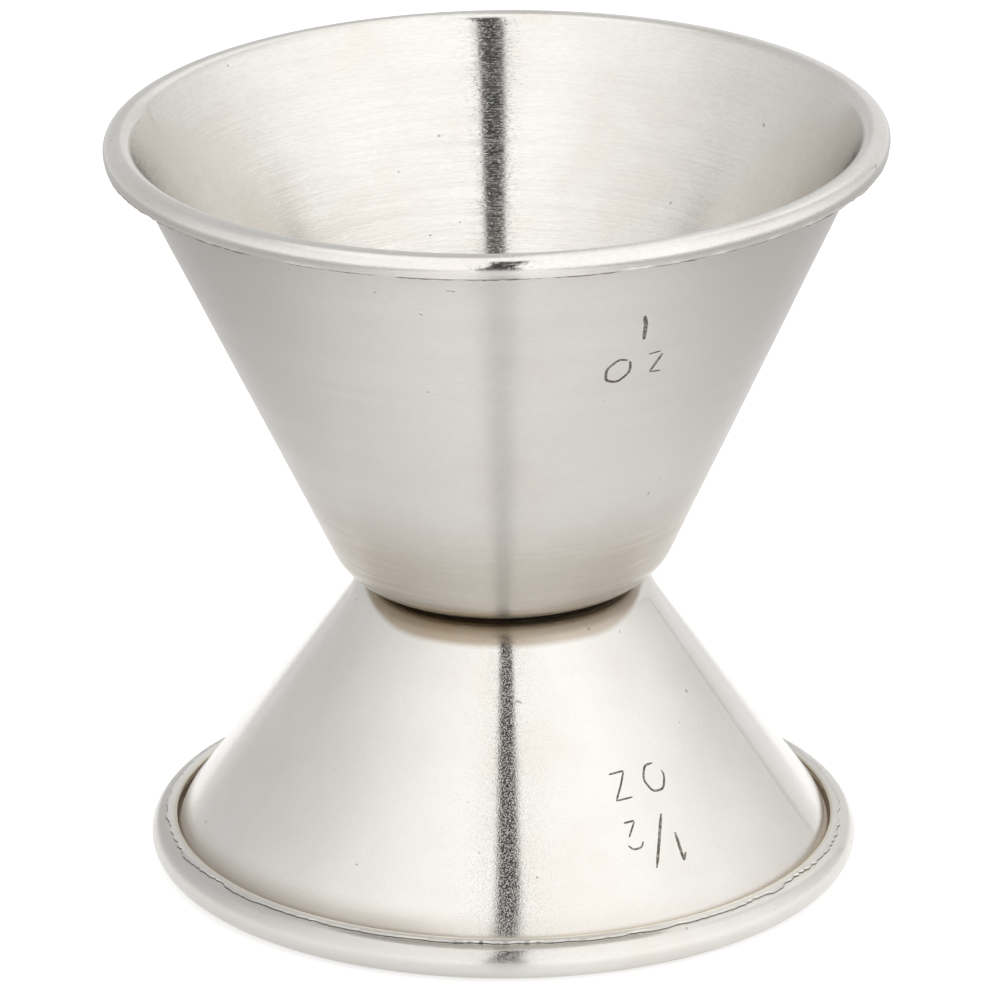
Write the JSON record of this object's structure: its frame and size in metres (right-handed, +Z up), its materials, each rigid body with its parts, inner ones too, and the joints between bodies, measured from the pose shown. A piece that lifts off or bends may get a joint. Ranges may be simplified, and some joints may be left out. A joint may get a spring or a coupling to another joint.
{
  "type": "bar jigger",
  "caption": "Double-ended bar jigger: a large and a small tapered steel measuring cup with rolled rims, spot-welded floor to floor.",
  "frame": {"origin": "centre of the small cup's rim, on the surface that it stands on", "axes": "+Z up through the middle of both cups, from the small cup's mouth to the large cup's mouth; the large cup leans 0.9 degrees towards -X"},
  "size_m": [0.0511, 0.051, 0.0507],
  "materials": {
    "large_cup_steel": "satin, turned lines round the cup",
    "small_cup_steel": "satin, turned lines round the cup",
    "weld_steel": "dull fused steel"
  },
  "bodies": {
    "root": {"large_cup": "large_cup_steel", "small_cup": "small_cup_steel", "weld_nugget": "weld_steel"}
  },
  "joints": []
}
